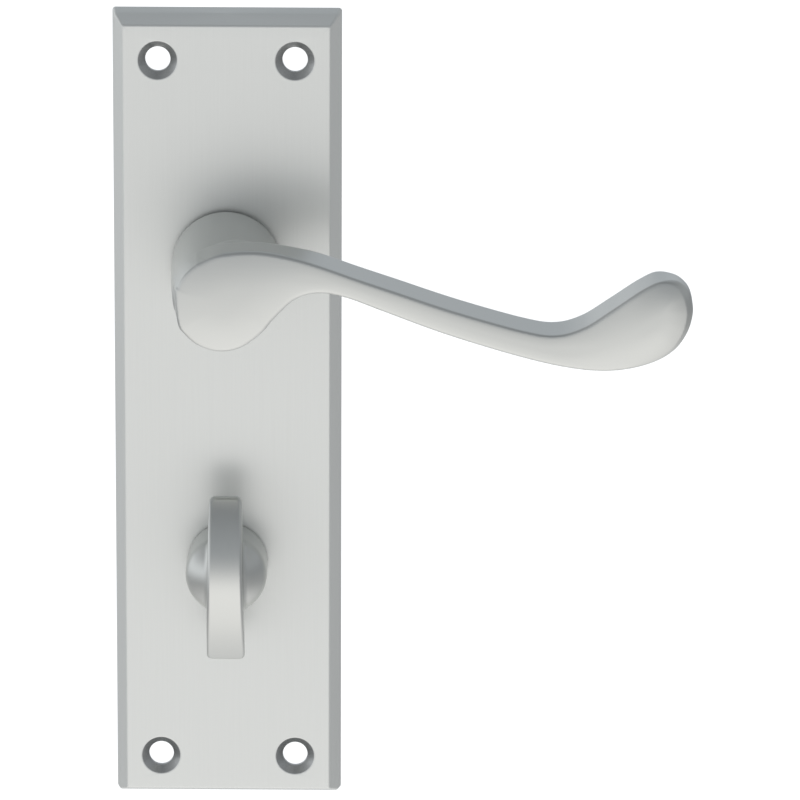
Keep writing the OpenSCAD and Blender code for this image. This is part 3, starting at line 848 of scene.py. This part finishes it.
def paint(pieces, materials):
    """Gives the frame's nodes the materials of their slots in the record, and the new pieces
    those of the slots that they name."""
    slots = {s["node"]: s["material_slot"] for s in frame["record"]["subparts"]}
    for name, obj in frame["nodes"].items():
        if not obj.data.materials:
            obj.data.materials.append(None)
        for slot in obj.material_slots:
            slot.material = materials[slots[name]]
    for obj in pieces:
        obj.data.materials.append(materials[obj["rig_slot"]])
        # The plate's second material paints shade into its countersinks.
        if obj.name == "plate_pressing":
            obj.data.materials.append(materials["sink_painted_shade"])


# ---------------------------------------------------------------- camera, light and floor
# Lengths are in metres.

SENSOR = 36.0               # width in mm
PICTURE = 800               # width in pixels
CAM_AZIMUTH = math.radians(0.42)
CAM_ELEVATION = math.radians(15.58)
CAM_ROLL = math.radians(0.23)
CAM_DISTANCE = 1.3014
CAM_FOCUS = Vector((0.0318, 0.0, 0.0007))
CAM_PIXELS = 7024.6         # focal length in pixels of the picture
CAM_NEAR, CAM_FAR = 0.05, 50
FLOOR_Z = -0.24
FLOOR_HALF = 6.0
FLOOR_GREY, FLOOR_ROUGH, FLOOR_GLOW = 0.8, 0.9, 0.8

# Brightness of the studio by height, from straight down (-1) to straight up (1), each with how
# cool its colour is: in front of the object, behind it, and to its left and right
FRONT = [(-1, (0.63, 0.0)), (-0.8, (0.80, -0.01)), (-0.5, (0.83, -0.01)), (-0.32, (0.92, -0.01)),
         (-0.2, (0.80, -0.01)), (-0.06, (0.53, 0.01)), (0.12, (0.32, 0.04)), (0.28, (0.26, 0.06)),
         (0.46, (0.30, 0.05)), (0.85, (0.18, 0.05)), (1, (0.18, 0.05))]
BEHIND = [(-1, (0.62, 0.0)), (-0.6, (0.36, 0.03)), (-0.27, (0.15, 0.05)), (0.0, (0.42, 0.06)),
          (0.27, (0.50, 0.06)), (0.55, (0.27, 0.07)), (0.86, (0.37, 0.06)), (1, (0.27, 0.05))]
LEFT = [(-1, (0.62, 0.0)), (-0.5, (0.31, 0.01)), (-0.3, (0.23, 0.02)), (0.0, (0.80, 0.03)),
        (0.3, (0.48, 0.03)), (0.6, (0.3, 0.03)), (1, (0.26, 0.03))]
RIGHT = [(-1, (0.62, 0.0)), (-0.27, (0.28, 0.02)), (0.0, (0.24, 0.04)), (0.3, (0.30, 0.04)),
         (1, (0.24, 0.04))]
MANY_STOPS = 6              # a ramp with more stops than this is smoothed across them
BEHIND_SPAN = 0.45          # the front gives way to the back within this of the middle
SIDE_SPAN = 0.7             # and either gives way to a side as far out as this
WORLD_STRENGTH = 1.4


def make_camera():
    a, e = CAM_AZIMUTH, CAM_ELEVATION
    back = Vector((math.sin(a) * math.cos(e), -math.cos(a) * math.cos(e), math.sin(e)))
    data = bpy.data.cameras.new("camera")
    data.sensor_width = SENSOR
    data.lens = CAM_PIXELS / PICTURE * SENSOR
    data.clip_start, data.clip_end = CAM_NEAR, CAM_FAR
    cam = add_object("camera", data)
    cam.location = CAM_FOCUS + back * CAM_DISTANCE
    cam.rotation_euler = (-back).to_track_quat("-Z", "Y").to_euler()
    cam.rotation_euler.rotate_axis("Z", CAM_ROLL)
    bpy.context.scene.camera = cam


def make_floor():
    bm = bmesh.new()
    w = FLOOR_HALF
    bm.faces.new(add_loop(bm, [(x, y, FLOOR_Z) for x, y in ((-w, -w), (w, -w), (w, w), (-w, w))]))
    mesh = bpy.data.meshes.new("floor")
    bm.to_mesh(mesh)
    bm.free()
    floor = add_object("floor", mesh)
    floor.visible_glossy = False        # the metal mirrors the studio instead
    mat, tree, shader = new_material("pale_floor")
    shader.inputs["Base Color"].default_value = (FLOOR_GREY, FLOOR_GREY, FLOOR_GREY, 1)
    shader.inputs["Roughness"].default_value = FLOOR_ROUGH
    shader.inputs["Emission Color"].default_value = (1, 1, 1, 1)
    shader.inputs["Emission Strength"].default_value = FLOOR_GLOW
    mesh.materials.append(mat)


def ramp(tree, value, stops):
    """Colour over a value from -1 to 1, from pairs of value and colour."""
    place = tree.nodes.new("ShaderNodeMapRange")
    place.inputs["From Min"].default_value = -1
    tree.links.new(value, place.inputs["Value"])
    node = tree.nodes.new("ShaderNodeValToRGB")
    band = node.color_ramp
    band.interpolation = "B_SPLINE" if len(stops) > MANY_STOPS else "EASE"
    while len(band.elements) < len(stops):
        band.elements.new(0.5)
    for element, (at, (level, cool)) in zip(band.elements, stops):
        element.position = (at + 1) / 2
        element.color = (level * (1 - cool), level, level * (1 + cool), 1)
    tree.links.new(place.outputs["Result"], node.inputs["Fac"])
    return node.outputs["Color"]


def change(tree, value, low, high, a, b):
    """Colour a where a value is low, b where it is high, and a smooth change between."""
    place = tree.nodes.new("ShaderNodeMapRange")
    place.interpolation_type = "SMOOTHSTEP"
    place.inputs["From Min"].default_value = low
    place.inputs["From Max"].default_value = high
    mix = tree.nodes.new("ShaderNodeMix")
    mix.data_type = "RGBA"
    tree.links.new(value, place.inputs["Value"])
    tree.links.new(a, mix.inputs["A"])
    tree.links.new(b, mix.inputs["B"])
    tree.links.new(place.outputs["Result"], mix.inputs["Factor"])
    return mix.outputs["Result"]


def make_world():
    """Soft studio surround: bright low in front, greyer and cooler above, behind and beside."""
    world = bpy.data.worlds.new("studio")
    bpy.context.scene.world = world
    world.use_nodes = True
    tree = world.node_tree
    tree.nodes.clear()
    out = tree.nodes.new("ShaderNodeOutputWorld")
    light = tree.nodes.new("ShaderNodeBackground")
    light.inputs["Strength"].default_value = WORLD_STRENGTH
    coords = tree.nodes.new("ShaderNodeTexCoord")
    parts = tree.nodes.new("ShaderNodeSeparateXYZ")
    tree.links.new(coords.outputs["Generated"], parts.inputs["Vector"])
    x, y, z = (parts.outputs[k] for k in "XYZ")
    front, behind, left, right = (ramp(tree, z, stops) for stops in (FRONT, BEHIND, LEFT, RIGHT))
    sky = change(tree, y, -BEHIND_SPAN, BEHIND_SPAN, front, behind)
    sky = change(tree, x, 0, -SIDE_SPAN, sky, left)
    sky = change(tree, x, 0, SIDE_SPAN, sky, right)
    tree.links.new(sky, light.inputs["Color"])
    tree.links.new(light.outputs["Background"], out.inputs["Surface"])


# ---------------------------------------------------------------- the scene

make_camera()
pieces = [
    make_lever(),
    make_turn(),
    make_backplate(),
    make_journal("lever_journal", LEVER_Z, NECK_Y, JOURNAL_R, LEVER_HI[1],
                 (CLIP_LO[1], CLIP_HI[1]), "lever", "lever_satin", flat_from=CAM_FRONT,
                 flat_half=LEVER_FLAT_HALF, bar_half=SOCKET_HALF),
    make_journal("turn_journal", TURN_Z, BOSS_Y, TURN_JOURNAL_R, TURN_HI[1],
                 (TURN_CLIP_LO[1], TURN_CLIP_HI[1]), "turn", "turn_satin",
                 flat_from=SHEET_Y, flat_half=NO_FLAT, bar_half=TURN_SOCKET_HALF),
    make_bar("lever_bar", "lever_spindle", BAR_LO, BAR_HI, "lever"),
    make_bar("turn_bar", "turn_spindle", TURN_BAR_LO, TURN_BAR_HI, "turn"),
    make_bush("neck_bush", "lever_bush", LEVER_Z, JOURNAL_R, BUSH_LO, BUSH_HI),
    make_bush("boss_bush", "turn_bush", TURN_Z, TURN_JOURNAL_R, TURN_BUSH_LO, TURN_BUSH_HI),
]
paint(pieces, make_materials())
make_floor()
make_world()
bpy.context.scene.view_settings.view_transform = "Standard"
